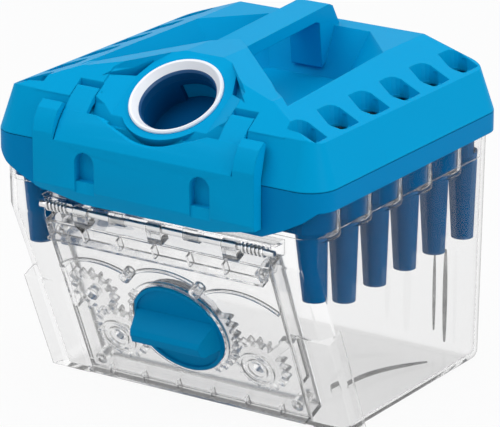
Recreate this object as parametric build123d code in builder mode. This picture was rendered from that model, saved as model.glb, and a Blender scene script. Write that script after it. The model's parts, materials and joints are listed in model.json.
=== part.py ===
from build123d import *
import os
from math import acos, atan2, cos, degrees, pi, radians, sin, sqrt, tan

os.makedirs("parts", exist_ok=True)

# Overall sizes (mm), front faces -Y, Z up
half_width = 115.0          # frame and cover half width
front_y = -100.65           # front plane of the frame
depth = 206.0               # frame front plane to rear plane
rear_y = front_y + depth
mid_y = front_y + depth / 2
corner_r = 18.0             # plan radius of frame and cover corners
wall = 2.6                  # general moulded wall
gap = 0.4                   # clearance between moving mouldings

# Heights
parting_z = 161.0           # joint between frame and cover
frame_bottom = 149.0        # lower edge of the frame at the sides
apron_bottom = 131.0        # lower edge of the frame at the front
rim_z = 152.0               # top rim of the clear bin
ledge_z = 130.0             # wavy ledge of the bin

# Clear bin
bin_inset = 6.5             # bin wall inside the edge of the frame, at the rim
bin_draft = 3.0             # lean of the side walls over their height
bin_half_top = half_width - bin_inset
bin_half_bottom = bin_half_top - bin_draft
bin_rear = rear_y - 4.0
bin_front_top = front_y + 4.0
slant = 0.42                # door lean, run per rise
door_pivot_z = 120.0
door_pivot_y = front_y + 5.6

rod_r = 2.0                 # hinge rod of the door
knuckle_r = 3.3
bin_lugs = (-26.0, 26.0)
door_lugs = (-52.0, 0.0, 52.0)
lug_half = 5.0

# Cover hinge
cover_pivot_y = rear_y + 0.3
cover_pivot_z = parting_z + 0.2
cover_knuckles = (-52.0, 52.0)
cover_pin_r = 1.6

# Cyclone rows
cone_count = 6
cone_pitch = 33.5
cone_first_y = front_y + 22.0
lobe_inset = 23.0
lobe_x = half_width - lobe_inset    # axis of the upper bowls
lobe_r = 16.9
cone_lean = 4.0
cone_x = lobe_x + cone_lean         # axis at the cone tips
cone_top_r = 8.0
cone_tip_r = 6.7
cone_tip_z = 80.5
first_cone_rise = 9.5       # the first cone is shorter
first_cone_back = 3.0       # and its tip leans back from the slanted front
cone_wall = 1.2

# Cover
cover_z = parting_z + gap
cover_lean = 0.325          # inset of cover walls per rise
crease_z = 187.0            # outer edge of the decks
deck_slope = 0.364
roof_z = 201.6
front_slope = 0.678
crease_x = half_width - 9.0     # outer edge of the decks
skirt_x = half_width + 15.0
skirt_z = crease_z - deck_slope * (skirt_x - crease_x)
roof_x = crease_x - (roof_z - crease_z) / deck_slope
shell = 2.8

# Inlet
inlet_y = front_y + 27.2
inlet_z = 193.7
inlet_tilt = 32.3           # degrees between inlet axis and vertical
seal_r = 28.7               # outer radius of the white lip
bore_r = 22.6               # clear bore
boss_r = 33.4
boss_drop = 0.6             # boss face below the edge of the lip
duct_wall = 2.0
duct_deep = 26.5            # lip to the floor of the inlet duct
seal_deep = 10.0            # lip to the rear of the seal

# Handle
handle_half = 11.0
handle_top = 216.0

# Latch
latch_half = 76.5
latch_out = 8.3             # how far the latch stands in front of the frame
latch_thick = 2.8
arm_in = 45.6
arm_out = 61.2
latch_pivot_y = front_y + 16.0
latch_pivot_z = 190.2
slot_run = 20.0             # rear end of the arm channels

# Door
door_half = 78.4
door_low = -52.0            # lower edge in door coordinates
door_high = 63.5            # upper edge in door coordinates
door_panel = 2.4
door_deep = 13.0
knob_z = 52.0
knob_r = 31.0
gear_module = 2.0
drive_teeth = 36
side_teeth = 17
hook_teeth = 14
gear_front = -4.2
gear_thick = 5.0
boss_u = 49.2
boss_v = -19.7
hook_u = -62.0
hook_v = 8.5
hook_windows = ((1, -10.0), (-1, 10.0))     # side and height of the openings for the hooks
hook_window = 31.0
pin_r = 4.0
run_fit = 0.08

# Door plane: x along +X, y up along the door, z outward
lean = atan2(slant, 1.0)
plane_run = front_y + 2.0
door_origin = (0, plane_run + slant * (118.0 - knob_z), knob_z)
door_plane = Plane(origin=door_origin, x_dir=(1, 0, 0), z_dir=(0, -cos(lean), -sin(lean)))
inlet_axis = (0, -sin(radians(inlet_tilt)), cos(radians(inlet_tilt)))
inlet_plane = Plane(origin=(0, inlet_y, inlet_z), x_dir=(1, 0, 0), z_dir=inlet_axis)


def at(run):
    """Y of a point that lies this far behind the frame's front plane."""
    return front_y + run


def save(builder, name):
    """Label a part and write its STEP file."""
    builder.part.label = name
    export_step(builder.part, "parts/" + name + ".step")


def cone_rows():
    """Y of each cyclone axis."""
    return [cone_first_y + i * cone_pitch for i in range(cone_count)]


# Clear bin
def bin_profile(inset):
    """Side outline of the bin, moved in by inset."""
    low_front = door_origin[1] + slant * knob_z
    top_front = bin_front_top
    knee = knob_z + (door_origin[1] - top_front) / slant
    run = inset / cos(lean)
    return [
        (low_front + run - slant * inset, inset),
        (bin_rear - inset, inset),
        (bin_rear - inset, rim_z + 20 * (inset > 0)),
        (top_front + inset, rim_z + 20 * (inset > 0)),
        (top_front + inset, knee + (run - inset) / slant),
    ]


def bin_widths(inset):
    """Front outline of the bin, moved in by inset."""
    top = rim_z + 20 * (inset > 0)
    grow = (bin_half_top - bin_half_bottom) / rim_z
    low = bin_half_bottom - inset
    high = bin_half_bottom + grow * top - inset
    return [(-low, 0), (low, 0), (high, top), (-high, top)]


def bin_solid(inset, round_r):
    """Solid of the bin's lower body, moved in by inset."""
    with BuildPart() as body:
        with BuildSketch(Plane.YZ):
            Polygon(*bin_profile(inset), align=None)
        extrude(amount=130, both=True)
        with BuildSketch(Plane.XZ):
            Polygon(*bin_widths(inset), align=None)
        extrude(amount=150, both=True, mode=Mode.INTERSECT)
        side = bin_half_bottom - 8
        front = body.edges().filter_by(lambda e: abs(e.center().X) > side and e.center().Y < at(40))
        chamfer(front, 7.0 - 0.4 * inset)
        rear = body.faces().sort_by(Axis.Y)[-1].edges()
        fillet(rear.filter_by(lambda e: abs((e % 0.5).Z) > 0.9), round_r)
        low = body.faces().sort_by(Axis.Z)[0].edges()
        fillet(low.filter_by(lambda e: e.center().Y > at(60)), round_r * 0.8)
    return body.part


def lobe_zone(grow, low, high):
    """Upper part of the bin: a block with one round bulge for each bowl."""
    with BuildPart() as zone:
        with BuildSketch(Plane.XY.offset(low)):
            with Locations((0, (bin_front_top + bin_rear) / 2)):
                across = 2 * (bin_half_top - 0.4 + grow)
                RectangleRounded(across, bin_rear - bin_front_top + 2 * grow, 14 + grow)
            for y in cone_rows()[:-1]:
                with Locations((lobe_x, y), (-lobe_x, y)):
                    Circle(lobe_r + 2.6 + grow)
            with Locations((0, (bin_front_top + bin_rear) / 2)):
                Rectangle(2 * half_width, bin_rear - bin_front_top + 2 * grow, mode=Mode.INTERSECT)
        extrude(amount=high - low)
    return zone.part


def door_yz(v, n):
    """Y and Z of a point at height v and distance n outward in the door's plane."""
    return (door_origin[1] - sin(lean) * v - cos(lean) * n, door_origin[2] + cos(lean) * v - sin(lean) * n)


pad_in = door_half + 2.0        # corner pads in door coordinates
pad_edge = bin_half_bottom + 2.4
pad_low = -66.0
pad_high = 15.0
pad_out = 1.6
pad_deep = 13.0
outer_body = bin_solid(0, 9.0)
inner_body = bin_solid(wall, 6.8)

with BuildPart() as clear_bin:
    add(outer_body)
    add(lobe_zone(0, ledge_z, rim_z))
    add(inner_body, mode=Mode.SUBTRACT)
    add(lobe_zone(-1.8, ledge_z + 1.8, rim_z + 5), mode=Mode.SUBTRACT)
    # jamb round the door opening
    with BuildSketch(door_plane.offset(-18.0)):
        with Locations((0, (door_low + door_high) / 2)):
            Rectangle(2 * door_half + 7, door_high - door_low + 5.4)
    extrude(amount=18.0)
    with BuildSketch(door_plane.offset(-16.0)):
        with Locations((0, (door_low + door_high) / 2)):
            Rectangle(2 * (door_half + gap + 0.1), door_high - door_low + 2 * gap)
    extrude(amount=30.0, mode=Mode.SUBTRACT)
    with BuildSketch(door_plane.offset(-30.0)):
        with Locations((0, (door_low + door_high) / 2 + 1)):
            Rectangle(2 * door_half - 9, door_high - door_low - 9)
    extrude(amount=30.0, mode=Mode.SUBTRACT)
    # pads on the front corners
    for side in (1, -1):
        with BuildSketch(door_plane.offset(pad_out - pad_deep)):
            with Locations((side * (pad_in + pad_edge) / 2, (pad_low + pad_high) / 2)):
                Rectangle(pad_edge - pad_in, pad_high - pad_low)
        extrude(amount=pad_deep)
    add(inner_body, mode=Mode.SUBTRACT)
    with BuildSketch(Plane.XY):
        Rectangle(4 * half_width, 4 * half_width)
    extrude(amount=-40, mode=Mode.SUBTRACT)
    # space for the hinge of the door
    with BuildSketch(Plane.YZ):
        with Locations((door_pivot_y - 6.0, door_pivot_z - 3.0)):
            Rectangle(30.0, 17.2)
    extrude(amount=door_half + 1.0, both=True, mode=Mode.SUBTRACT)
    with BuildSketch(Plane.YZ):
        Polygon(
            (door_pivot_y - 0.4, door_pivot_z + 5.6), (door_pivot_y + 11.4, door_pivot_z + 5.6),
            (door_pivot_y + 11.4, door_pivot_z - 3.6), (door_pivot_y + 9.2, door_pivot_z - 3.6),
            (door_pivot_y + 9.2, door_pivot_z + 3.6), (door_pivot_y - 0.4, door_pivot_z + 3.6), align=None)
    extrude(amount=door_half + 3.0, both=True)
    # lugs and wall bores for the hinge rod
    for x in bin_lugs:
        with BuildSketch(Plane.YZ.offset(x - lug_half)):
            with Locations((door_pivot_y, door_pivot_z)):
                Circle(knuckle_r)
            Polygon(
                (door_pivot_y - knuckle_r, door_pivot_z), (door_pivot_y + knuckle_r, door_pivot_z),
                (door_pivot_y + knuckle_r + 2, door_pivot_z + 4.6),
                (door_pivot_y - knuckle_r, door_pivot_z + 4.6),
                align=None)
        extrude(amount=2 * lug_half)
    with BuildSketch(Plane.YZ):
        with Locations((door_pivot_y, door_pivot_z)):
            Circle(rod_r)
    extrude(amount=door_half + 3.4, both=True, mode=Mode.SUBTRACT)
    # windows in the jamb for the hooks
    for side, v in hook_windows:
        with BuildSketch(door_plane.offset(gear_front + 0.6)):
            with Locations((side * (door_half + 3.0), v)):
                Rectangle(9.0, hook_window)
        extrude(amount=-gear_thick - 1.2, mode=Mode.SUBTRACT)
save(clear_bin, "clear_bin")


# Blue frame
def plan(inset, low, high):
    """Rounded block with the frame's plan, moved in by inset."""
    with BuildPart() as block:
        with BuildSketch(Plane.XY.offset(low)):
            with Locations((0, mid_y)):
                RectangleRounded(2 * (half_width - inset), depth - 2 * inset, corner_r - inset)
        extrude(amount=high - low)
    return block.part


plate_z = rim_z + 1.2
with BuildPart() as cyclone_frame:
    add(plan(0, apron_bottom, parting_z))
    add(plan(2.8, apron_bottom - 1, plate_z), mode=Mode.SUBTRACT)
    add(plan(2.8, plate_z + 2.4, parting_z + 1), mode=Mode.SUBTRACT)
    # lower edge: low at the front, high at the sides and the rear
    with BuildSketch(Plane.YZ):
        Polygon((at(20), 120), (at(230), 120), (at(230), frame_bottom), (at(20), frame_bottom), align=None)
    extrude(amount=130, both=True, mode=Mode.SUBTRACT)
    for side in (1, -1):
        with BuildSketch(Plane.XZ.offset(-at(30))):
            Polygon(
                (side * latch_half, 120), (side * latch_half, apron_bottom),
                (side * (half_width - 25), apron_bottom + 5.6),
                (side * (half_width - 12), apron_bottom + 12.4),
                (side * (half_width - 5), frame_bottom), (side * (half_width + 15), frame_bottom),
                (side * (half_width + 15), 120), align=None)
        extrude(amount=60, mode=Mode.SUBTRACT)
    # openings over the bowls and the coarse chamber
    with BuildSketch(Plane.XY.offset(plate_z - 1)):
        with Locations(*[(side * lobe_x, y) for side in (1, -1) for y in cone_rows()]):
            Circle(lobe_r - 3.4)
        with Locations((0, mid_y)):
            Rectangle(104, 124)
    extrude(amount=5, mode=Mode.SUBTRACT)
    # knuckles of the cover hinge
    for x in cover_knuckles:
        with BuildSketch(Plane.YZ.offset(x - 22)):
            with Locations((cover_pivot_y, cover_pivot_z)):
                Rectangle(2 * knuckle_r + 0.8, 2 * knuckle_r + 0.8)
        extrude(amount=44, mode=Mode.SUBTRACT)
        for step in (-21.6, 9.8):
            with BuildSketch(Plane.YZ.offset(x + step)):
                with Locations((cover_pivot_y, cover_pivot_z)):
                    Circle(knuckle_r)
                    Circle(cover_pin_r, mode=Mode.SUBTRACT)
                Polygon(
                    (rear_y - 1.0, parting_z - 11.0), (cover_pivot_y + 2.9, parting_z - 1.4),
                    (cover_pivot_y - 2.9, parting_z - 1.4), (rear_y - 1.0, parting_z - 4.0), align=None)
            extrude(amount=11.8)
save(cyclone_frame, "cyclone_frame")

# Cyclone banks
bowl_low = ledge_z + 4.0


def cyclone_bank():
    """Right-hand bank of six bowls and cones with their bores."""
    with BuildPart() as bank:
        with BuildSketch(Plane.XY.offset(bowl_low)):
            with Locations(*[(lobe_x, y) for y in cone_rows()]):
                Circle(lobe_r)
        extrude(amount=plate_z - bowl_low)
        add(lobe_zone(-3.0, bowl_low - 1, plate_z + 1), mode=Mode.INTERSECT)
        for i, y in enumerate(cone_rows()):
            tip = cone_tip_z + first_cone_rise * (i == 0)
            with BuildSketch(Plane.XY.offset(tip)):
                with Locations((cone_x, y + first_cone_back * (i == 0))):
                    Circle(cone_tip_r)
            with BuildSketch(Plane.XY.offset(bowl_low + 1)):
                with Locations((lobe_x + 3.0, y)):
                    Circle(cone_top_r + 1.2)
            loft()
        for i, y in enumerate(cone_rows()):
            tip = cone_tip_z + first_cone_rise * (i == 0)
            with BuildSketch(Plane.XY.offset(tip - 0.5)):
                with Locations((cone_x, y + first_cone_back * (i == 0))):
                    Circle(cone_tip_r - cone_wall)
            with BuildSketch(Plane.XY.offset(bowl_low + 1.2)):
                with Locations((lobe_x + 3.0, y)):
                    Circle(cone_top_r)
            loft(mode=Mode.SUBTRACT)
            with BuildSketch(Plane.XY.offset(bowl_low + 1.2)):
                with Locations((lobe_x, y)):
                    Circle(lobe_r - 3.4)
            extrude(amount=40, mode=Mode.SUBTRACT)
    return bank.part


with BuildPart() as right_cyclones:
    add(cyclone_bank())
save(right_cyclones, "right_cyclones")

with BuildPart() as left_cyclones:
    add(right_cyclones.part)
    mirror(about=Plane.YZ, mode=Mode.REPLACE)
save(left_cyclones, "left_cyclones")

# Vortex plates over the bowls
vortex_z = plate_z + 2.4
tube_r = 7.2
with BuildPart() as right_vortex_plate:
    with BuildSketch(Plane.XY.offset(vortex_z)):
        with Locations((lobe_x, (cone_rows()[0] + cone_rows()[-1]) / 2)):
            RectangleRounded(34, cone_pitch * 5 + 16, 14)
    extrude(amount=2.0)
    with BuildSketch(Plane.XY.offset(vortex_z - 16)):
        with Locations(*[(lobe_x, y) for y in cone_rows()]):
            Circle(tube_r)
    extrude(amount=17)
    with BuildSketch(Plane.XY.offset(vortex_z - 20)):
        with Locations(*[(lobe_x, y) for y in cone_rows()]):
            Circle(tube_r - 1.4)
    extrude(amount=40, mode=Mode.SUBTRACT)
save(right_vortex_plate, "right_vortex_plate")

with BuildPart() as left_vortex_plate:
    add(right_vortex_plate.part)
    mirror(about=Plane.YZ, mode=Mode.REPLACE)
save(left_vortex_plate, "left_vortex_plate")

# Coarse screen
screen_half_x = 56.0
screen_half_y = 66.0
screen_low = apron_bottom + 5
with BuildPart() as coarse_screen:
    with BuildSketch(Plane.XY.offset(vortex_z)):
        with Locations((0, mid_y)):
            RectangleRounded(2 * screen_half_x, 2 * screen_half_y, 8)
    extrude(amount=1.6)
    with BuildSketch(Plane.XY.offset(screen_low)):
        with Locations((0, mid_y)):
            RectangleRounded(2 * screen_half_x - 9, 2 * screen_half_y - 9, 6)
    extrude(amount=vortex_z - screen_low)
    with BuildSketch(Plane.XY.offset(screen_low + 1.6)):
        with Locations((0, mid_y)):
            RectangleRounded(2 * screen_half_x - 12.2, 2 * screen_half_y - 12.2, 4.4)
    extrude(amount=40, mode=Mode.SUBTRACT)
    with BuildSketch(Plane.XY.offset(screen_low - 1)):
        with Locations((0, mid_y)):
            with GridLocations(14, 14, 6, 7):
                Circle(4.6)
    extrude(amount=4, mode=Mode.SUBTRACT)
save(coarse_screen, "coarse_screen")

# Rubber ring on the rim of the bin
with BuildPart() as bin_seal:
    add(lobe_zone(-0.1, rim_z, plate_z))
    add(lobe_zone(-1.7, rim_z - 1, plate_z + 1), mode=Mode.SUBTRACT)
save(bin_seal, "bin_seal")

# Hinge rod of the door
with BuildPart() as door_hinge_rod:
    with BuildSketch(Plane.YZ):
        with Locations((door_pivot_y, door_pivot_z)):
            Circle(rod_r)
    extrude(amount=door_half + 3.2, both=True)
save(door_hinge_rod, "door_hinge_rod")

# Pins of the cover hinge
with BuildPart() as cover_hinge_pins:
    for x in cover_knuckles:
        with BuildSketch(Plane.YZ.offset(x)):
            with Locations((cover_pivot_y, cover_pivot_z)):
                Circle(cover_pin_r)
        extrude(amount=21.6, both=True)
save(cover_hinge_pins, "cover_hinge_pins")


# Cover
def front_deck(run):
    """Height of the cover's front slope this far behind the frame's front plane."""
    return 188.5 + front_slope * (run - 8.5)


def grown(points, by):
    """Polygon moved outward by the given distance (points run counter-clockwise)."""
    count = len(points)
    out = []
    for i in range(count):
        (ax, ay), (bx, by_), (cx, cy) = points[i - 1], points[i], points[(i + 1) % count]
        d1 = sqrt((bx - ax) ** 2 + (by_ - ay) ** 2)
        d2 = sqrt((cx - bx) ** 2 + (cy - by_) ** 2)
        n1 = ((by_ - ay) / d1, -(bx - ax) / d1)
        n2 = ((cy - by_) / d2, -(cx - bx) / d2)
        k = by / (1 + n1[0] * n2[0] + n1[1] * n2[1])
        out.append((bx + k * (n1[0] + n2[0]), by_ + k * (n1[1] + n2[1])))
    return out


def tapered(low_points, low, high_points, high):
    """Ruled block between two outlines at two heights."""
    with BuildPart() as block:
        with BuildSketch(Plane.XY.offset(low)):
            Polygon(*low_points, align=None)
        with BuildSketch(Plane.XY.offset(high)):
            Polygon(*high_points, align=None)
        loft(ruled=True)
    return block.part


def cover_block(inset):
    """Faceted block of the cover, moved in by inset."""
    low = cover_z - 5 * (inset > 0)
    high = 205.0
    low_in = inset + cover_lean * (low - cover_z)
    high_in = inset + cover_lean * (high - cover_z)
    drop = 1.15 * inset
    with BuildPart() as block:
        with BuildSketch(Plane.XY.offset(low)):
            with Locations((0, mid_y)):
                RectangleRounded(2 * (half_width - low_in), depth - 2 * low_in, corner_r - low_in)
        with BuildSketch(Plane.XY.offset(high)):
            with Locations((0, mid_y)):
                RectangleRounded(2 * (half_width - high_in), depth - 2 * high_in, corner_r - high_in)
        loft(ruled=True)
        with BuildSketch(Plane.XZ):
            Polygon(
                (-skirt_x, 140), (skirt_x, 140), (skirt_x, skirt_z - drop), (roof_x, roof_z - drop),
                (-roof_x, roof_z - drop), (-skirt_x, skirt_z - drop), align=None)
        extrude(amount=150, both=True, mode=Mode.INTERSECT)
        with BuildSketch(Plane.YZ):
            Polygon(
                (at(-10), 140), (at(230), 140), (at(230), roof_z - drop),
                (at(27.8), roof_z - drop), (at(-10), front_deck(-10) - drop), align=None)
        extrude(amount=130, both=True, mode=Mode.INTERSECT)
    return block.part


basin_side = [(86, 15.2), (73.8, 148.8), (39.9, 184)]       # X and run of the upper outline
basin_side_low = [(46, 66), (44, 138), (27, 166)]
basin_tip = 93.5
basin_tip_low = 104.0
basin_z = 172.0
basin_high = 212.0
pocket_top = [
    (3.6, -17.6), (5.6, -18.0), (11.2, -15.6), (13.2, -13.4), (12.6, 3.8), (-3.4, 6.2), (-6.0, 4.8),
    (-7.6, 2.0),
    (-8.2, -3.0), (-8.0, -10.4)]
pocket_draft = 1.4
pocket_z = 184.0
pocket_top_z = 194.0
first_pocket = -9.2             # the first pocket stops short of the front slope
outlet_r = 5.4
ridge_x = 13.0
ridge_z = 211.6


def basin_outline(tip, side):
    """Outline of the hand basin from its front tip and its right side."""
    left = [(-x, at(run)) for x, run in reversed(side)]
    return [(0, at(tip))] + [(x, at(run)) for x, run in side] + left


basin_top = basin_outline(basin_tip, basin_side)
basin_floor = basin_outline(basin_tip_low, basin_side_low)


def pockets(by):
    """Outlet scoops of both decks, grown by the given distance."""
    rise = 12.0
    flare = pocket_draft * rise / (pocket_top_z - pocket_z)
    with BuildPart() as scoops:
        for i, y in enumerate(cone_rows()):
            shape = pocket_top
            if i == 0:
                shape = [(u, max(v, first_pocket - 0.12 * u)) for u, v in pocket_top[2:]]
            low = [(lobe_x + u, y + v) for u, v in grown(shape, by - pocket_draft)]
            high = [(lobe_x + u, y + v) for u, v in grown(shape, by + flare)]
            add(tapered(low, pocket_z - by, high, pocket_top_z + rise))
        mirror(about=Plane.YZ)
    return scoops.part


def channels(by):
    """Arm channels of the latch in the front slope, grown by the given distance."""
    with BuildPart() as grooves:
        for side in (1, -1):
            start = side * (arm_in + arm_out) / 2 - (arm_out - arm_in) / 2 - gap - by
            with BuildSketch(Plane.YZ.offset(start)):
                Polygon(
                    (at(-12), front_deck(-12) + 12), (at(slot_run + by), front_deck(slot_run) + 12),
                    (at(slot_run + by), front_deck(slot_run) - 7.8 - by),
                    (at(-12), front_deck(-12) - 7.8 - by), align=None)
            extrude(amount=arm_out - arm_in + 2 * gap + 2 * by)
    return grooves.part


def slope_run(run):
    """Distance along the inlet's face of a point this far behind the front plane."""
    return (at(run) - inlet_y) / cos(radians(inlet_tilt))


dish_flat = boss_r - 0.4        # half width of the flat round the boss
dish_rise = 6.2                 # height of the arms' level over the boss face
dish_end = [(arm_in, 30.0), (dish_flat, 41.5), (18.0, 57.0)]    # X and run of the ridges' inner edge
pit = [(28.5, 46.4), (33.5, 35.0), (49.5, 27.0)]                # X and run of the small pits
pit_deep = 5.5
front_crease = 11.5


def dish(by):
    """Space over the inlet's face between the ridges and the arms, grown by the given distance."""
    low = -boss_drop - by
    wide = arm_in + by
    along_slope = (0, cos(radians(inlet_tilt)), sin(radians(inlet_tilt)))
    across = Plane(origin=inlet_plane.origin, x_dir=(1, 0, 0), z_dir=along_slope)
    with BuildPart() as space:
        with BuildSketch(across.offset(-60)):
            Polygon(
                (-wide, -45), (-wide, -low - dish_rise), (-dish_flat, -low), (dish_flat, -low),
                (wide, -low - dish_rise), (wide, -45), align=None)
        extrude(amount=100)
        with BuildSketch(Plane.XY.offset(150)):
            right = [(x + by, at(run + by)) for x, run in dish_end]
            left = [(-x, y) for x, y in reversed(right)]
            Polygon((-wide, at(-30)), (wide, at(-30)), *right, *left, align=None)
        extrude(amount=100, mode=Mode.INTERSECT)
        for side in (1, -1):
            with BuildSketch(inlet_plane.offset(-pit_deep - by)):
                Polygon(*[(side * x, slope_run(run)) for x, run in grown(pit, by)], align=None)
            extrude(amount=40)
    return space.part


def dish_sides(by):
    """Steep steps in front of the dish on both sides of the boss."""
    with BuildPart() as steps:
        for start in (boss_r - 14 - by, -arm_in - by):
            with BuildSketch(Plane.YZ.offset(start)):
                Polygon(
                    (at(front_crease + by), 230),
                    (at(front_crease + by), front_deck(front_crease) - 4.0 - by),
                    (at(6.6 + by), 176.0 - by), (at(-20), 176.0 - by), (at(-20), 230), align=None)
            extrude(amount=arm_in - boss_r + 14 + 2 * by)
    return steps.part


# Front part of the cover, with the ridges that run from the handle to the decks
with BuildPart() as front_body:
    with BuildSketch(Plane.XY.offset(180)):
        (edge_x, edge_run) = basin_side[0]
        Polygon(
            (-edge_x, at(-6)), (edge_x, at(-6)), (edge_x, at(edge_run)), (0, at(basin_tip + 6)),
            (-edge_x, at(edge_run)), align=None)
    extrude(amount=40)
    with BuildSketch(Plane.XZ):
        Polygon(
            (-skirt_x, 140), (skirt_x, 140), (skirt_x, skirt_z), (roof_x + 2, roof_z - 2 * deck_slope),
            (ridge_x, ridge_z), (-ridge_x, ridge_z), (-roof_x - 2, roof_z - 2 * deck_slope),
            (-skirt_x, skirt_z),
            align=None)
    extrude(amount=150, both=True, mode=Mode.INTERSECT)
    with BuildSketch(Plane.YZ):
        Polygon(
            (at(8.5), 150), (at(230), 150), (at(230), 230), (at(69.7), 230), (at(8.5), front_deck(8.5)),
            align=None)
    extrude(amount=130, both=True, mode=Mode.INTERSECT)
front_block = front_body.part

# Hollow under the cover, without the walls that stand in it
with BuildPart() as cover_hollow:
    add(cover_block(shell))
    add(tapered(grown(basin_floor, 2.4), basin_z - 2.4, grown(basin_top, 2.4), basin_high), mode=Mode.SUBTRACT)
    add(dish(2.6), mode=Mode.SUBTRACT)
    add(dish_sides(2.6), mode=Mode.SUBTRACT)
    add(pockets(1.8), mode=Mode.SUBTRACT)
    add(channels(2.0), mode=Mode.SUBTRACT)
    with BuildSketch(inlet_plane.offset(-40)):
        Circle(seal_r + 2.4)
    extrude(amount=70, mode=Mode.SUBTRACT)

with BuildPart() as top_cover:
    add(cover_block(0))
    add(front_block)
    add(dish(0), mode=Mode.SUBTRACT)
    add(dish_sides(0), mode=Mode.SUBTRACT)
    # inlet boss
    with BuildSketch(inlet_plane.offset(-34)):
        Circle(boss_r)
    extrude(amount=34 - boss_drop)
    add(tapered(basin_floor, basin_z, basin_top, basin_high), mode=Mode.SUBTRACT)
    add(cover_hollow.part, mode=Mode.SUBTRACT)
    add(plan(-5, 120, cover_z), mode=Mode.SUBTRACT)
    # handle
    with BuildSketch(Plane.YZ.offset(-handle_half)):
        Polygon(
            (at(52), 207.0), (at(60), 210.6), (at(84), 211.0), (at(174), handle_top),
            (at(177.5), handle_top - 1.6),
            (at(187), 198.6), (at(187), 192), (at(166), 178), (at(163), 206.6), (at(159), 208.0),
            (at(90), 204.0),
            (at(78), 198), (at(70), 196), align=None)
    extrude(amount=2 * handle_half)
    # inlet bore
    with BuildSketch(inlet_plane.offset(-44)):
        Circle(bore_r + duct_wall + 0.05)
    extrude(amount=80, mode=Mode.SUBTRACT)
    with BuildSketch(inlet_plane.offset(-seal_deep)):
        Circle(seal_r + 0.05)
    extrude(amount=40, mode=Mode.SUBTRACT)
    add(pockets(0), mode=Mode.SUBTRACT)
    with BuildSketch(Plane.XY.offset(pocket_z - 6)):
        with Locations(*[(side * lobe_x, y) for side in (1, -1) for y in cone_rows()]):
            Circle(outlet_r)
    extrude(amount=12, mode=Mode.SUBTRACT)
    add(channels(0), mode=Mode.SUBTRACT)
    # bores of the latch pins
    for side in (1, -1):
        with BuildSketch(Plane.YZ.offset(side * (arm_in + arm_out) / 2)):
            with Locations((latch_pivot_y, latch_pivot_z)):
                Circle(1.5 + run_fit)
        extrude(amount=(arm_out - arm_in) / 2 + 2.0, both=True, mode=Mode.SUBTRACT)
    # knuckles at the rear
    for x in cover_knuckles:
        with BuildSketch(Plane.YZ.offset(x - 22)):
            with Locations((cover_pivot_y, cover_pivot_z)):
                Rectangle(2 * knuckle_r + 0.8, 2 * knuckle_r + 0.8)
        extrude(amount=44, mode=Mode.SUBTRACT)
        with BuildSketch(Plane.YZ.offset(x - 9.4)):
            with Locations((cover_pivot_y, cover_pivot_z)):
                Circle(knuckle_r)
            Polygon(
                (rear_y - 4.6, cover_z + 11.0), (rear_y - 4.0, cover_z + 2.0),
                (cover_pivot_y - 2.9, cover_z + 1.2),
                (cover_pivot_y + 2.9, cover_z + 1.2), align=None)
            with Locations((cover_pivot_y, cover_pivot_z)):
                Circle(cover_pin_r + run_fit, mode=Mode.SUBTRACT)
        extrude(amount=18.8)
save(top_cover, "top_cover")

# White lip seal and inlet duct
with BuildPart() as inlet_seal:
    with BuildSketch(Plane.XZ):
        Polygon((seal_r, -seal_deep), (seal_r, 0.4), (seal_r - 0.8, 1.2), (seal_r - 2.0, 0.9),
                (bore_r + 0.6, -3.6),
                (bore_r, -4.6), (bore_r, -seal_deep), align=None)
    revolve(axis=Axis.Z)
inlet_seal.part = inlet_plane.location * inlet_seal.part
save(inlet_seal, "inlet_seal")

with BuildPart() as inlet_duct:
    with BuildSketch(inlet_plane.offset(-duct_deep - duct_wall)):
        Circle(bore_r + duct_wall)
    extrude(amount=duct_deep + duct_wall - seal_deep)
    with BuildSketch(inlet_plane.offset(-duct_deep)):
        Circle(bore_r)
    extrude(amount=duct_deep, mode=Mode.SUBTRACT)
    with BuildSketch(inlet_plane.offset(-duct_deep)):
        with Locations((0, 24)):
            Rectangle(26, 14)
    extrude(amount=duct_deep - 14, mode=Mode.SUBTRACT)
save(inlet_duct, "inlet_duct")

# Rubber ring under the cover
with BuildPart() as cover_seal:
    add(plan(3.0 + shell, cover_z + 0.1, cover_z + 2.6))
    add(plan(5.0 + shell, cover_z - 1, cover_z + 4), mode=Mode.SUBTRACT)
save(cover_seal, "cover_seal")


# Latch
def side_block(points, low, high):
    """Side outline (run, height) extruded across X from low to high."""
    with BuildPart() as block:
        with BuildSketch(Plane.YZ.offset(low)):
            Polygon(*[(at(run), z) for run, z in points], align=None)
        extrude(amount=high - low)
    return block.part


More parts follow.
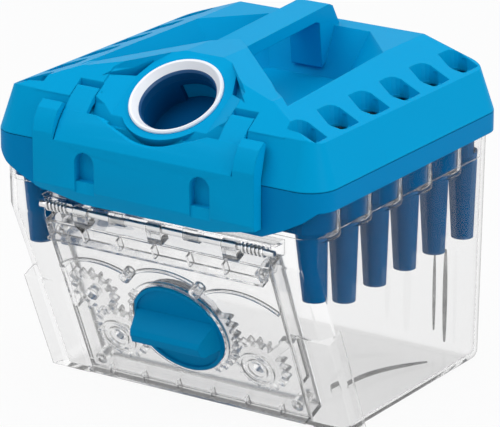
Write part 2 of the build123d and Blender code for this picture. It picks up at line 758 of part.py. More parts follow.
latch_low = 128.5
latch_crease = 166.2
latch_back = -0.5           # rear of the latch, just in front of the frame
slit = 0.8
recess_mid = 40.0
recess_half = 6.8
dip_half = [(10, 173.0), (22, 176.6), (34, 180.4), (arm_in - 0.6, 183.0)]     # X and height of the upper edge
dip = [(-x, z) for x, z in reversed(dip_half)] + [(0, 172.0)] + dip_half
with BuildPart() as latch_flap:
    add(side_block(
        [(-3.2, latch_low), (latch_back, latch_low), (latch_back, latch_crease), (-latch_out, latch_crease),
         (-latch_out, 138.6)], -latch_half, latch_half))
    for low, high in ((-latch_half, -arm_out - slit), (arm_out + slit, latch_half)):
        add(side_block(
            [(-latch_out, latch_crease - 1), (latch_back, latch_crease - 1), (4.4, 184.4), (2.4, 186.0),
             (-2.6, 182.4),
             (-6.4, 176.4), (-latch_out, 169.6)], low, high))
    add(side_block(
        [(-latch_out, latch_crease - 1), (latch_back, latch_crease - 1), (4.0, 180.2), (2.4, 182.2),
         (-2.4, 176.6),
         (-6.0, 170.8), (-latch_out, latch_crease)], -arm_out, arm_out))
    # hollow behind the plate
    add(side_block(
        [(-2.9, latch_low + 3.0), (5, latch_low + 3.0), (5, 179), (1.4, 179), (-3.0, 171.0), (-5.5, 164.6),
         (-5.5, 139.2)], -latch_half + latch_thick, latch_half - latch_thick), mode=Mode.SUBTRACT)
    # finger recesses
    for x in (-recess_mid, recess_mid):
        cup_half = recess_half + latch_thick
        add(side_block([(-6, 141), (-1, 141), (-1, 164), (-6, 164)], x - cup_half, x + cup_half))
        with BuildSketch(Plane.XZ.offset(-at(-2.6))):
            with Locations((x, 149.4)):
                Rectangle(2 * recess_half, 11.2)
            with Locations((x, 155.0)):
                Circle(recess_half)
        extrude(amount=10, mode=Mode.SUBTRACT)
        with BuildSketch(Plane.XZ.offset(-at(-7.3))):
            with Locations((x, 136.0)):
                Rectangle(2 * recess_half, 20)
        extrude(amount=10, mode=Mode.SUBTRACT)
    # bowed lower edge
    for side in (1, -1):
        with BuildSketch(Plane.XZ.offset(-at(4))):
            Polygon((side * 44, 120), (side * 44, latch_low), (side * 80, 136.4), (side * 80, 120), align=None)
        extrude(amount=20, mode=Mode.SUBTRACT)
    # arms
    for low, high in ((-arm_out, -arm_in), (arm_in, arm_out)):
        add(side_block(
            [(2.2, 181.6), (4.4, 180.0), (8.9, front_deck(8.9) - 4.2), (17.5, front_deck(17.5) - 5.8),
             (17.5, front_deck(17.5)), (8.9, front_deck(8.9))], low, high))
        with BuildSketch(Plane.YZ.offset(low)):
            with Locations((latch_pivot_y, latch_pivot_z)):
                Circle(2.9)
        extrude(amount=high - low)
    # round the rear of the arms about the pins
    for low, high in ((-arm_out, -arm_in), (arm_in, arm_out)):
        with BuildSketch(Plane.YZ.offset(low)):
            with Locations((latch_pivot_y + 3.6, latch_pivot_z + 0.4)):
                Rectangle(7.2, 9.0)
            with Locations((latch_pivot_y, latch_pivot_z)):
                Circle(2.9, mode=Mode.SUBTRACT)
        extrude(amount=high - low, mode=Mode.SUBTRACT)
    for low, high in ((-arm_out, -arm_in), (arm_in, arm_out)):
        with BuildSketch(Plane.YZ.offset(low)):
            with Locations((latch_pivot_y, latch_pivot_z)):
                Circle(1.5)
        extrude(amount=high - low, mode=Mode.SUBTRACT)
    # room for the inlet boss, with a soft dip in the upper edge
    with BuildSketch(inlet_plane.offset(-60)):
        Circle(boss_r + 0.8)
    extrude(amount=90, mode=Mode.SUBTRACT)
    with BuildSketch(Plane.XZ.offset(-at(8))):
        with BuildLine():
            wave = Spline(*[(x, z) for x, z in dip], tangents=((1, 0), (1, 0)))
            Polyline(wave @ 1, (dip[-1][0], 200), (dip[0][0], 200), wave @ 0)
        make_face()
    extrude(amount=30, mode=Mode.SUBTRACT)
save(latch_flap, "latch_flap")

with BuildPart() as latch_pins:
    for side in (1, -1):
        with BuildSketch(Plane.YZ.offset(side * (arm_in + arm_out) / 2)):
            with Locations((latch_pivot_y, latch_pivot_z)):
                Circle(1.5)
        extrude(amount=(arm_out - arm_in) / 2 + 1.8, both=True)
save(latch_pins, "latch_pins")

# Emptying door
posts = ((-24.5, 37.5), (24.5, 37.5))
gear_back = gear_front - gear_thick
liner_front = -door_deep + 2.0


def door_ring(outer_r, inner_r, u, v, low, high):
    """Tube in the door's direction at u, v between two depths."""
    with BuildPart() as tube:
        with BuildSketch(door_plane.offset(low)):
            with Locations((u, v)):
                Circle(outer_r)
                if inner_r > 0:
                    Circle(inner_r, mode=Mode.SUBTRACT)
        extrude(amount=high - low)
    return tube.part


def door_block(points, low, high):
    """Outline in the door's plane extruded between two depths."""
    with BuildPart() as block:
        with BuildSketch(door_plane.offset(low)):
            Polygon(*points, align=None)
        extrude(amount=high - low)
    return block.part


def door_box(u1, v1, u2, v2, low, high):
    """Box in the door's directions."""
    return door_block([(u1, v1), (u2, v1), (u2, v2), (u1, v2)], low, high)


knob_gap = 0.5
with BuildPart() as front_door:
    add(door_box(-door_half, door_low, door_half, door_high, -door_deep, 0))
    add(door_box(-door_half + 2.2, door_low + 2.2, door_half - 2.2, door_high - 2.2, -door_deep - 1,
                 -door_panel),
        mode=Mode.SUBTRACT)
    # knob opening with a collar
    add(door_ring(knob_r + 3.2, 0, 0, 0, -door_panel, 1.4))
    add(door_ring(knob_r + knob_gap, 0, 0, 0, -door_panel - 1, 6), mode=Mode.SUBTRACT)
    # ledge with dividers along the top
    add(door_box(-door_half + 3, door_high - 9.4, door_half - 3, door_high - 7.8, -0.5, 6.0))
    for k in range(7):
        u = -door_half + 4 + k * (2 * door_half - 9.4) / 6
        add(door_box(u, door_high - 9.0, u + 1.4, door_high, -0.5, 4.4))
    # channel along the bottom
    add(door_box(-door_half + 1, door_low, door_half - 1, door_low + 1.8, -0.5, 4.4))
    for k in range(6):
        u = -62 + k * 24.4
        add(door_box(u, door_low, u + 1.6, door_low + 8.4, -0.5, 3.4))
    # eyebrow ribs over the gears, posts and gear pins
    for side in (1, -1):
        with BuildSketch(door_plane.offset(-0.5)):
            with Locations((side * boss_u, boss_v + 14)):
                Circle(46.0)
                Circle(44.4, mode=Mode.SUBTRACT)
            with Locations((side * 52, 32)):
                Rectangle(50, 24, mode=Mode.INTERSECT)
        extrude(amount=2.4)
    with BuildSketch(door_plane.offset(-0.5)):
        Circle(44.0)
        Circle(42.4, mode=Mode.SUBTRACT)
        with Locations((0, 38)):
            Rectangle(40, 20, mode=Mode.INTERSECT)
    extrude(amount=2.4)
    for u, v in posts:
        add(door_ring(3.6, 1.6, u, v, -0.5, 7.5))
    for u, v in ((boss_u, boss_v), (-boss_u, boss_v)):
        add(door_ring(12.0, 10.4, u, v, -0.5, 1.2))
        add(door_ring(7.4, 5.8, u, v, -0.5, 1.8))
    for u, v in ((boss_u, boss_v), (-boss_u, boss_v), (hook_u, hook_v)):
        add(door_ring(pin_r, 0, u, v, liner_front + 0.1, -door_panel + 0.5))
    # lugs on the hinge rod
    for x in door_lugs:
        with BuildSketch(Plane.YZ.offset(x - lug_half)):
            with Locations((door_pivot_y, door_pivot_z)):
                Circle(knuckle_r)
            Polygon(
                (door_pivot_y - knuckle_r, door_pivot_z), door_yz(door_high - 0.5, 0),
                door_yz(door_high - 0.5, -7),
                (door_pivot_y + knuckle_r, door_pivot_z), align=None)
            with Locations((door_pivot_y, door_pivot_z)):
                Circle(rod_r + run_fit, mode=Mode.SUBTRACT)
        extrude(amount=2 * lug_half)
    # windows in the side walls for the hooks
    for side, v in hook_windows:
        add(door_box(side * door_half - 4, v - hook_window / 2, side * door_half + 4, v + hook_window / 2,
                     gear_back - 0.6, gear_front + 0.6), mode=Mode.SUBTRACT)
    # screw pillars
    for u in (-70, 70):
        for v in (-44, 55):
            add(door_ring(4.0, 1.3, u, v, liner_front + 0.05, -door_panel + 0.5))
save(front_door, "front_door")

with BuildPart() as door_liner:
    add(door_box(-door_half + 2.4, door_low + 2.4, door_half - 2.4, door_high - 2.4, -door_deep, liner_front))
    add(door_ring(9.0, 0, 0, 0, liner_front - 0.5, gear_front - 2.6))
    for u in (-70, 70):
        for v in (-44, 55):
            add(door_ring(1.7, 0, u, v, -door_deep - 2, 0), mode=Mode.SUBTRACT)
save(door_liner, "door_liner")

with BuildPart() as liner_screws:
    for u in (-70, 70):
        for v in (-44, 55):
            add(door_ring(3.0, 0, u, v, -door_deep - 1.4, -door_deep))
            add(door_ring(1.3, 0, u, v, -door_deep - 0.5, -5.0))
save(liner_screws, "liner_screws")

with BuildPart() as door_seal:
    add(door_box(-door_half + 0.6, door_low + 0.6, door_half - 0.6, door_high - 0.6, -door_deep - 1.6, -door_deep))
    add(door_box(-door_half + 3.6, door_low + 3.6, door_half - 3.6, door_high - 3.6, -door_deep - 3, 0),
        mode=Mode.SUBTRACT)
save(door_seal, "door_seal")

# Torsion springs on the hinge rod
spring_r = 2.75
wire_r = 0.6
with BuildPart() as door_springs:
    for x in (60.5, -76.5):
        with BuildLine():
            coil = Helix(pitch=2.6, height=15.6, radius=spring_r, center=(x, door_pivot_y, door_pivot_z),
                         direction=(1, 0, 0))
        with BuildSketch(Plane(origin=coil @ 0, z_dir=coil % 0)):
            Circle(wire_r)
        sweep(path=coil, is_frenet=True)
save(door_springs, "door_springs")


# Lock mechanism
def gear_outline(teeth, turn, slack, sectors):
    """Involute gear outline; turn is the angle of one tooth's middle, sectors the toothed directions."""
    pitch_r = gear_module * teeth / 2
    base_r = pitch_r * cos(radians(20))
    root_r = pitch_r - 1.25 * gear_module
    tip_r = pitch_r + 0.95 * gear_module
    half = pi / (2 * teeth) - slack / (2 * pitch_r)
    involute = tan(radians(20)) - radians(20)
    flank = []
    for k in range(4):
        r = max(root_r, base_r) + (tip_r - max(root_r, base_r)) * k / 3
        a = acos(min(1.0, base_r / r))
        flank.append((r, half + involute - (tan(a) - a)))
    flank.insert(0, (root_r, flank[0][1]))
    points = []
    for i in range(teeth):
        mid = radians(turn) + 2 * pi * i / teeth
        away = [abs((degrees(mid) - way + 180) % 360 - 180) for way in sectors]
        if away and min(away) > sector_half:
            points.append((plain_r * cos(mid - pi / teeth), plain_r * sin(mid - pi / teeth)))
            points.append((plain_r * cos(mid + pi / teeth * 0.96), plain_r * sin(mid + pi / teeth * 0.96)))
            continue
        for r, a in flank:
            points.append((r * cos(mid - a), r * sin(mid - a)))
        for r, a in reversed(flank):
            points.append((r * cos(mid + a), r * sin(mid + a)))
    return points


def mesh_turn(teeth_a, turn_a, teeth_b, way):
    """Tooth angle of gear b so that it meshes with gear a; way is the direction from a to b."""
    step = 360.0 / teeth_a
    shift = (way - turn_a) / step
    off = (shift - round(shift)) * step
    return way + 180.0 + off * teeth_a / teeth_b + 180.0 / teeth_b


slack = 0.45
sector_half = 48.0          # toothed part of the drive gear, to each side
plain_r = knob_r - 1.0
way_right = degrees(atan2(boss_v, boss_u))
way_left = degrees(atan2(boss_v, -boss_u))
way_hook = degrees(atan2(hook_v - boss_v, hook_u + boss_u))
turn_right = mesh_turn(drive_teeth, way_right, side_teeth, way_right)
turn_idler = mesh_turn(drive_teeth, way_right, side_teeth, way_left)
turn_hook = mesh_turn(side_teeth, turn_idler, hook_teeth, way_hook)


def gear(teeth, turn, u, v, bore, sectors=()):
    """Gear with a bore, in the door's plane."""
    with BuildPart() as wheel:
        outline = gear_outline(teeth, turn, slack, sectors)
        add(door_block([(u + x, v + y) for x, y in outline], gear_back, gear_front))
        add(door_ring(bore, 0, u, v, gear_back - 1, gear_front + 1), mode=Mode.SUBTRACT)
    return wheel.part


def hook_arm(u, v, angle, length, side):
    """Locking arm that starts at a gear and ends in a small claw."""
    a = radians(angle)
    along = (cos(a), sin(a))
    across = (-sin(a), cos(a))
    shape = [(7, -2.6), (length - 1.2, -2.6), (length, -1.4), (length, 2.4),
             (length - 5, 4.6 if side > 0 else 2.6),
             (length - 6.4, 2.6), (7, 2.6)]
    if side < 0:
        shape = [(r, -t) for r, t in shape]
    return [(u + r * along[0] + t * across[0], v + r * along[1] + t * across[1]) for r, t in shape]


with BuildPart() as drive_gear:
    add(gear(drive_teeth, way_right, 0, 0, 9.0 + run_fit, (way_right, way_left)))
    add(door_ring(12.0, 9.0 + run_fit, 0, 0, gear_front - 0.2, gear_front + 0.4))
save(drive_gear, "drive_gear")

with BuildPart() as right_hook_gear:
    add(gear(side_teeth, turn_right, boss_u, boss_v, pin_r + run_fit))
    add(door_block(hook_arm(boss_u, boss_v, 43.0, 34.5, 1), gear_back, gear_front))
save(right_hook_gear, "right_hook_gear")

with BuildPart() as left_idler_gear:
    add(gear(side_teeth, turn_idler, -boss_u, boss_v, pin_r + run_fit))
save(left_idler_gear, "left_idler_gear")

with BuildPart() as left_hook_gear:
    add(gear(hook_teeth, turn_hook, hook_u, hook_v, pin_r + run_fit))
    add(door_block(hook_arm(hook_u, hook_v, 137.0, 18.4, -1), gear_back, gear_front))
save(left_hook_gear, "left_hook_gear")

grip_half = 27.5
with BuildPart() as lock_knob:
    add(door_ring(knob_r, 0, 0, 0, gear_front + 0.4, 1.0))
    add(door_ring(knob_r, knob_r - 2.4, 0, 0, 0.5, 2.4))
    with BuildSketch(Plane.YZ.offset(-grip_half)):
        Polygon(door_yz(-9.5, 0.5), door_yz(9.5, 0.5), door_yz(5.0, 15.0), door_yz(2.0, 17.0),
                door_yz(-3.0, 17.0),
                door_yz(-6.0, 14.0), align=None)
    extrude(amount=2 * grip_half)
    for side in (1, -1):
        with BuildSketch(door_plane.offset(1.0)):
            with Locations((side * (grip_half + 4), 0)):
                Rectangle(8, 30)
        extrude(amount=30, taper=-12, mode=Mode.SUBTRACT)
save(lock_knob, "lock_knob")
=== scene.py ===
import json
import math

import bmesh
import bpy
import numpy as np
from mathutils import Matrix, Vector


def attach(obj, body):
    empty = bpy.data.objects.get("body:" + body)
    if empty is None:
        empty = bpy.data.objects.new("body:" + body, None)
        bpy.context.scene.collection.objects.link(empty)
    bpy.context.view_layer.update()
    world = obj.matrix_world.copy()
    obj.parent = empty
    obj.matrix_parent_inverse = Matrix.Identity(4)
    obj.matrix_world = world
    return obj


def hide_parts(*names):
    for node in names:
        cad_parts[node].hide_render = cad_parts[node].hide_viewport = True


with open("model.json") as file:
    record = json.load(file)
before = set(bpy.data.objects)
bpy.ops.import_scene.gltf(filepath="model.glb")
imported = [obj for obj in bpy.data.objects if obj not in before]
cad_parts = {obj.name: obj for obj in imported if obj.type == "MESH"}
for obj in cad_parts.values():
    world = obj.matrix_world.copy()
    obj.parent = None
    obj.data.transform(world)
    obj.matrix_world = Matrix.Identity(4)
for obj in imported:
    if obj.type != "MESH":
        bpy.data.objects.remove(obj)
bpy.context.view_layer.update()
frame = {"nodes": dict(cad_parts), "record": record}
nodes = frame["nodes"]
MM = 0.001

# Places in the part's frame
FRONT = -100.65 * MM            # front plane of the blue frame
INLET = Vector((0, FRONT + 27.2 * MM, 193.7 * MM))
INLET_TILT = math.radians(32.3)
INLET_AXIS = Vector((0, -math.sin(INLET_TILT), math.cos(INLET_TILT)))
REAR_WALL = 98.7                # planes that the bin's ridges lie on, in mm
BIN_FLOOR = 2.6

# Sockets of a Mix node that mixes colours
MIX_FACTOR, MIX_LOW, MIX_HIGH, MIX_RESULT = 0, 6, 7, 2


# Shader graph helper
class Sock:
    """A shader socket; arithmetic on it adds Math nodes to the same tree."""

    def __init__(self, tree, socket):
        self.tree, self.socket = tree, socket

    def math(self, op, other):
        node = self.tree.nodes.new("ShaderNodeMath")
        node.operation = op
        join(self.tree, self, node.inputs[0])
        join(self.tree, other, node.inputs[1])
        return Sock(self.tree, node.outputs[0])

    def __add__(self, other):
        return self.math("ADD", other)

    def __mul__(self, other):
        return self.math("MULTIPLY", other)

    __radd__ = __add__
    __rmul__ = __mul__


def join(tree, value, slot):
    """Link a Sock into a socket, or set the socket's own value."""
    if isinstance(value, Sock):
        tree.links.new(value.socket, slot)
    else:
        slot.default_value = value


class Graph:
    """Node tree of one material, or of the world."""

    def __init__(self, name, library=bpy.data.materials):
        self.owner = library.new(name)
        self.owner.use_nodes = True
        self.tree = self.owner.node_tree
        self.tree.nodes.clear()

    def node(self, kind, out=0, props=None, slots=None, **inputs):
        """Add any node; inputs go by socket name with spaces as underscores, slots by socket number."""
        made = self.tree.nodes.new("ShaderNode" + kind)
        for key, value in (props or {}).items():
            setattr(made, key, value)
        for number, value in (slots or {}).items():
            join(self.tree, value, made.inputs[number])
        for key, value in inputs.items():
            join(self.tree, value, made.inputs[key.replace("_", " ")])
        return Sock(self.tree, made.outputs[out]) if made.outputs else None

    def place(self):
        return self.node("TexCoord", out="Object")

    def noise(self, scale, detail=2.0):
        return self.node("TexNoise", Vector=self.place(), Scale=scale, Detail=detail)

    def ramp(self, value, low, high):
        """Colour between two colours."""
        slots = {MIX_FACTOR: value, MIX_LOW: (*low, 1), MIX_HIGH: (*high, 1)}
        return self.node("Mix", out=MIX_RESULT, props={"data_type": "RGBA"}, slots=slots)

    def showing(self):
        """1 for rays that show the background: from the eye, off gloss and through clear plastic."""
        eye, gloss, through = (self.node("LightPath", out=f"Is {ray} Ray")
                               for ray in ("Camera", "Glossy", "Transmission"))
        return eye.math("MAXIMUM", gloss).math("MAXIMUM", through)

    def blend(self, factor, first, second):
        """Mix of two shaders."""
        return self.node("MixShader", slots={0: factor, 1: first, 2: second})

    def done(self, shader, output="OutputMaterial"):
        """Close the tree with its output and return the material or world."""
        self.node(output, Surface=shader)
        return self.owner


# Finishes, with painted shade along the edges of clear plastic and on the ridges inside the bin
BLUE_EDGE = 0.9 * MM            # radius that softens the edges of blue plastic
CLEAR_EDGE = 0.7 * MM           # the same for clear plastic
CLOUD_SCALE = 18.0
GRAIN_SCALE = 2600.0
RIPPLE_SCALE = 9.0
FLECK_SCALE = 60.0
RIDGE_SHADE_SCALE = 120.0
LIP_DEPTH = -3.0 * MM           # where the white of the inlet lip ends, along the inlet's axis
# Painted shade that clear plastic takes along its edges and curves, in place of the dark lines of
# refraction
DARK_EDGE_SHADE = (0.02, 0.02, 0.022)
PALE_EDGE_SHADE = (0.3, 0.3, 0.31)
THROAT_BLUE = (0.0, 0.065, 0.19)
WHITE = (1, 1, 1)
# Painted shade of the ridges in the clear bin, lighter in random patches
RIDGE_SHADE_GREY = (0.05, 0.05, 0.05)
RIDGE_SHADE_LIGHTER = 1.3


def blue_plastic(name, low, high, rough):
    """Satin moulded plastic with a fine grain."""
    g = Graph(name)
    cloud = g.noise(CLOUD_SCALE)
    grain = g.noise(GRAIN_SCALE, detail=1.0)
    edge = g.node("Bevel", Radius=BLUE_EDGE)
    bump = g.node("Bump", Height=grain, Strength=0.05, Distance=0.2 * MM, Normal=edge)
    shader = g.node("BsdfPrincipled", Base_Color=g.ramp(cloud, low, high), Roughness=rough + 0.08 * cloud,
                    IOR=1.46, Specular_IOR_Level=0.025, Normal=bump)
    return g.done(shader)


def clear_plastic(name, edge_shade, rough, ior, solid, fall, soft=CLEAR_EDGE):
    """Clear moulded plastic: white where it faces the eye, with painted shade, grey to dark, along its
    edges and curves in place of the dark lines of refraction.
    """
    g = Graph(name)
    ripple = g.noise(RIPPLE_SCALE)
    edge = g.node("Bevel", Radius=soft)
    bump = g.node("Bump", Height=ripple, Strength=0.04, Distance=2.0 * MM, Normal=edge)
    # Painted shade: the base colour goes from white to the edge shade as the surface turns from the eye
    turn = g.node("LayerWeight", out="Facing", Blend=0.5, Normal=edge)
    shader = g.node("BsdfPrincipled", Base_Color=g.ramp(turn.math("POWER", fall), WHITE, edge_shade),
                    Roughness=rough + 0.01 * ripple, IOR=ior, Transmission_Weight=1.0, Alpha=solid,
                    Normal=bump)
    return g.done(shader)


def ridge_painted_shade(name, shade_tone):
    """Moulded ridge in clear plastic, coloured grey as painted shade for the dark line that refraction
    draws along it.
    """
    g = Graph(name)
    cloud = g.noise(RIDGE_SHADE_SCALE)
    lighter = tuple(RIDGE_SHADE_LIGHTER * c for c in shade_tone)
    shader = g.node("BsdfPrincipled", Base_Color=g.ramp(cloud, shade_tone, lighter), Roughness=0.3,
                    Alpha=0.35 + 0.4 * cloud)
    return g.done(shader)


def lip_white(name, white, throat, depth):
    """White lip whose inner slope takes the duct's colour below a given depth along the inlet."""
    g = Graph(name)
    along = g.node("VectorMath", out="Value", props={"operation": "DOT_PRODUCT"},
                   slots={0: g.place(), 1: INLET_AXIS})
    level = INLET.dot(INLET_AXIS) + depth
    cloud = g.noise(FLECK_SCALE)
    shader = g.node("BsdfPrincipled", Base_Color=g.ramp(along.math("GREATER_THAN", level), throat, white),
                    Roughness=0.4 + 0.1 * cloud)
    return g.done(shader)


def plain(name, low, high, rough, metal=0.0):
    """Opaque material that varies a little in colour and roughness."""
    g = Graph(name)
    cloud = g.noise(FLECK_SCALE)
    shader = g.node("BsdfPrincipled", Base_Color=g.ramp(cloud, low, high), Roughness=rough + 0.1 * cloud,
                    Metallic=metal)
    return g.done(shader)


materials = {
    "cover_blue": blue_plastic("cover_blue", (0.0, 0.295, 0.57), (0.0, 0.315, 0.60), rough=0.36),
    "frame_blue": blue_plastic("frame_blue", (0.0, 0.205, 0.46), (0.0, 0.22, 0.485), rough=0.36),
    "latch_blue": blue_plastic("latch_blue", (0.0, 0.30, 0.575), (0.0, 0.315, 0.60), rough=0.36),
    "knob_blue": blue_plastic("knob_blue", (0.0, 0.225, 0.46), (0.0, 0.235, 0.48), rough=0.32),
    "cyclone_blue": blue_plastic("cyclone_blue", (0.0, 0.075, 0.21), (0.0, 0.085, 0.23), rough=0.36),
    "vortex_blue": blue_plastic("vortex_blue", (0.0, 0.10, 0.26), (0.0, 0.11, 0.28), rough=0.36),
    "duct_navy": blue_plastic("duct_navy", THROAT_BLUE, (0.0, 0.07, 0.205), rough=0.4),
    "inlet_white": lip_white("inlet_white", (0.82, 0.83, 0.86), THROAT_BLUE, LIP_DEPTH),
    "bin_clear": clear_plastic("bin_clear", DARK_EDGE_SHADE, rough=0.01, ior=1.1, solid=0.95, fall=2.9,
                               soft=1.3 * MM),
    "door_clear": clear_plastic("door_clear", DARK_EDGE_SHADE, rough=0.01, ior=1.42, solid=0.96, fall=3.2),
    "liner_clear": clear_plastic("liner_clear", PALE_EDGE_SHADE, rough=0.02, ior=1.1, solid=0.6, fall=3.0),
    "gear_clear": clear_plastic("gear_clear", DARK_EDGE_SHADE, rough=0.02, ior=1.45, solid=0.95, fall=2.6),
    "screen_white": plain("screen_white", (0.5, 0.53, 0.56), (0.56, 0.58, 0.6), rough=0.45),
    "seal_rubber": plain("seal_rubber", (0.84, 0.85, 0.86), (0.9, 0.9, 0.91), rough=0.6),
    "steel": plain("steel", (0.72, 0.72, 0.72), (0.8, 0.8, 0.8), rough=0.25, metal=1.0),
}
slot_of = {s["node"]: s["material_slot"] for s in frame["record"]["subparts"]}
body_of = {n: b for b, members in frame["record"]["behaviour"]["bodies"].items() for n in members}


def paint(obj, slot_name):
    """Give a piece the material of its slot."""
    obj.data.materials.clear()
    obj.data.materials.append(materials[slot_name])


# Moulded pieces with rounded edges
MERGE_DISTANCE = 1e-6
FLAT_ANGLE = math.radians(0.6)
BEVEL_ANGLE = math.radians(24)
SHARP_ANGLE = math.radians(30)
BEVEL_SEGMENTS = 2
edge_width = {                  # in mm
    "latch_flap": 0.7,
    "cyclone_frame": 0.6,
    "lock_knob": 1.0,
    "front_door": 0.5,
    "door_liner": 0.5,
}


def rounded(node, width):
    """A merged copy of a CAD node with its sharp edges rounded by a bevel."""
    mesh = nodes[node].data.copy()
    bm = bmesh.new()
    bm.from_mesh(mesh)
    bmesh.ops.remove_doubles(bm, verts=bm.verts, dist=MERGE_DISTANCE)
    bmesh.ops.dissolve_limit(bm, angle_limit=FLAT_ANGLE, verts=bm.verts, edges=bm.edges)
    bm.to_mesh(mesh)
    bm.free()
    obj = bpy.data.objects.new(node + "_rounded", mesh)
    bpy.context.scene.collection.objects.link(obj)
    mod = obj.modifiers.new("edge", "BEVEL")
    mod.width = width * MM
    mod.segments = BEVEL_SEGMENTS
    mod.limit_method = "ANGLE"
    mod.angle_limit = BEVEL_ANGLE
    mod.harden_normals = True
    mesh.shade_smooth()
    mesh.set_sharp_from_angle(angle=SHARP_ANGLE)
    paint(obj, slot_of[node])
    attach(obj, body_of[node])
    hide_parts(node)


for node, obj in nodes.items():
    paint(obj, slot_of[node])
    if node in edge_width:
        rounded(node, edge_width[node])

# Ridges inside the clear bin, coloured grey as painted shade along the dark refraction lines on its rear
# wall and floor
RIDGE_STATIONS = 33
RIDGE_SIDES = 16
RIDGE_UNDERSIDE = 0.15          # depth of the underside, as a share of the rise
RIDGE_TIP = 0.04                # share of the sine arch left out at each end
RIDGE_BLUNT = 0.4
ridge_shade = ridge_painted_shade("bin_ridge_shade", RIDGE_SHADE_GREY)


def ridge(name, path, half, rise, up, body):
    """Closed ridge p(s, t) = path(s) + w(s) (half cos(t) across(s) + rise lift(t) up).

    lift(t) = max(sin(t), underside sin(t)) flattens the side that lies on the wall, and
    w(s) = sin(pi (tip + (1 - 2 tip) s)) ^ blunt makes both ends thin. Lengths are in mm.
    """
    s = np.linspace(0, 1, RIDGE_STATIONS)
    t = np.linspace(0, 2 * math.pi, RIDGE_SIDES, endpoint=False)
    line = np.stack(np.broadcast_arrays(*path(s)), axis=1)
    across = np.cross(np.gradient(line, axis=0), up)
    across /= np.linalg.norm(across, axis=1)[:, None]
    thin = np.sin(math.pi * (RIDGE_TIP + (1 - 2 * RIDGE_TIP) * s)) ** RIDGE_BLUNT
    lift = np.maximum(np.sin(t), RIDGE_UNDERSIDE * np.sin(t))
    sideways = half * np.cos(t)[None, :, None] * across[:, None]
    upward = rise * lift[None, :, None] * np.array(up, float)
    points = line[:, None] + thin[:, None, None] * (sideways + upward)
    ring = np.arange(points[..., 0].size).reshape(RIDGE_STATIONS, RIDGE_SIDES)
    turned = np.roll(ring, -1, axis=1)
    quads = np.stack([ring[:-1], ring[1:], turned[1:], turned[:-1]], axis=-1).reshape(-1, 4)
    ends = [ring[0].tolist(), ring[-1, ::-1].tolist()]
    mesh = bpy.data.meshes.new(name)
    mesh.from_pydata((points.reshape(-1, 3) * MM).tolist(), [], quads.tolist() + ends)
    mesh.shade_smooth()
    obj = bpy.data.objects.new(name, mesh)
    bpy.context.scene.collection.objects.link(obj)
    mesh.materials.append(ridge_shade)
    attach(obj, body)


def near_line(s):
    """Upright line on the rear wall, next to the right corner."""
    return 79.2, REAR_WALL, 6 + 60 * s


def far_line(s):
    """Shorter upright line on the rear wall, further in."""
    return 71.5, REAR_WALL, 12 + 50 * s


def floor_line(s):
    """Bowed line that runs to the rear along the floor."""
    return 64 + 20 * s - 8 * np.sin(math.pi * s), -2 + 72 * s, BIN_FLOOR


FORWARD, UPWARD = (0, -1, 0), (0, 0, 1)
ridge("rear_ridge_near", near_line, 1.5, 1.8, FORWARD, "container")
ridge("rear_ridge_far", far_line, 1.1, 1.3, FORWARD, "container")
ridge("floor_ridge", floor_line, 2.0, 1.8, UPWARD, "container")

# Stage
FLOOR_HALF = 4.0                # in metres
FLOOR_DROP = -0.2 * MM
FLOOR_WHITE = 0.94              # share of white that the floor shows to the eye
FLOOR_SCALE = 3.0
SURROUND_COLOUR = (0.9, 0.95, 1.0, 1)
SURROUND_LIGHT = 0.6


def studio_floor():
    """Pale floor that looks white to the camera."""
    g = Graph("studio_floor")
    cloud = g.noise(FLOOR_SCALE)
    base = g.node("BsdfDiffuse", Color=g.ramp(cloud, (0.62, 0.62, 0.63), (0.66, 0.66, 0.67)))
    white = g.node("Emission", Color=(*WHITE, 1), Strength=1.0)
    shader = g.blend(FLOOR_WHITE * g.showing(), base, white)
    turns = ((-1, -1), (1, -1), (1, 1), (-1, 1))
    corners = [(x * FLOOR_HALF, y * FLOOR_HALF, FLOOR_DROP) for x, y in turns]
    mesh = bpy.data.meshes.new("studio_floor")
    mesh.from_pydata(corners, [], [(0, 1, 2, 3)])
    obj = bpy.data.objects.new("studio_floor", mesh)
    bpy.context.scene.collection.objects.link(obj)
    mesh.materials.append(g.done(shader))


def studio_world():
    """White surround, a little darker for light than for the camera."""
    g = Graph("studio_world", bpy.data.worlds)
    light = g.node("Background", Color=SURROUND_COLOUR, Strength=SURROUND_LIGHT)
    white = g.node("Background", Color=(*WHITE, 1), Strength=1.0)
    bpy.context.scene.world = g.done(g.blend(g.showing(), light, white), "OutputWorld")


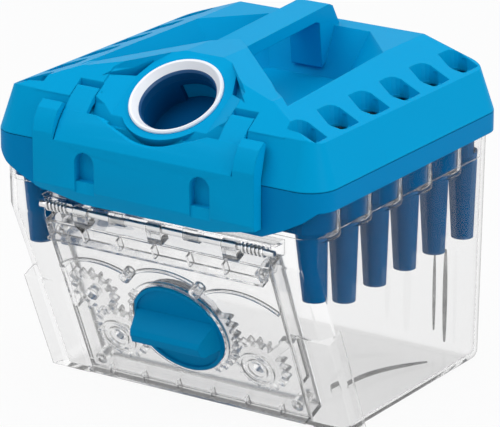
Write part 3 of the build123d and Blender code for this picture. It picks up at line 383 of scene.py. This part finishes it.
def area_light(name, place, aim, width, height, power):
    """Soft rectangular light aimed at a point."""
    data = bpy.data.lights.new(name, "AREA")
    data.shape = "RECTANGLE"
    data.size = width
    data.size_y = height
    data.energy = power
    obj = bpy.data.objects.new(name, data)
    obj.location = place
    obj.rotation_euler = (Vector(aim) - Vector(place)).to_track_quat("-Z", "Y").to_euler()
    bpy.context.scene.collection.objects.link(obj)


# Camera of the perspective fit, with its offsets in mm from the middle of the front plane at the base
CAMERA_TURN = math.radians(33.455)
CAMERA_RISE = math.radians(18.7735)
CAMERA_RIGHT, CAMERA_UP, CAMERA_BACK = 57.32, 123.57, 2124.51
FOCAL_PIXELS = 3644.96
PHOTO_PIXELS = 500.0
SENSOR = 36.0


def photo_camera():
    """Camera at the photo's angle, from the perspective fit."""
    right = Vector((math.cos(CAMERA_TURN), math.sin(CAMERA_TURN), 0))
    level = Vector((-math.sin(CAMERA_TURN), math.cos(CAMERA_TURN), 0))
    up = math.sin(CAMERA_RISE) * level + Vector((0, 0, math.cos(CAMERA_RISE)))
    back = right.cross(up)
    spot = (CAMERA_RIGHT * right + CAMERA_UP * up + CAMERA_BACK * back) * MM + Vector((0, FRONT, 0))
    data = bpy.data.cameras.new("photo_camera")
    data.sensor_width = SENSOR
    data.lens = SENSOR * FOCAL_PIXELS / PHOTO_PIXELS
    data.clip_start, data.clip_end = 0.05, 50
    cam = bpy.data.objects.new("photo_camera", data)
    cam.matrix_world = Matrix.Translation(spot) @ Matrix((right, up, back)).transposed().to_4x4()
    bpy.context.scene.collection.objects.link(cam)
    bpy.context.scene.camera = cam


studio_floor()
studio_world()
area_light("key_light", (-0.5, -0.7, 1.3), (0, 0, 0.12), width=0.9, height=0.9, power=7)
area_light("top_light", (0.25, 0.2, 1.4), (0, 0, 0.1), width=1.0, height=1.0, power=6)
area_light("side_light", (1.3, -0.2, 0.6), (0, 0, 0.1), width=0.5, height=1.0, power=6)
photo_camera()
bpy.context.scene.view_settings.view_transform = "Standard"

# Enough bounces for light to pass the many walls of clear plastic
bpy.context.scene.cycles.transparent_max_bounces = 32
bpy.context.scene.cycles.max_bounces = 24
bpy.context.scene.cycles.transmission_bounces = 24
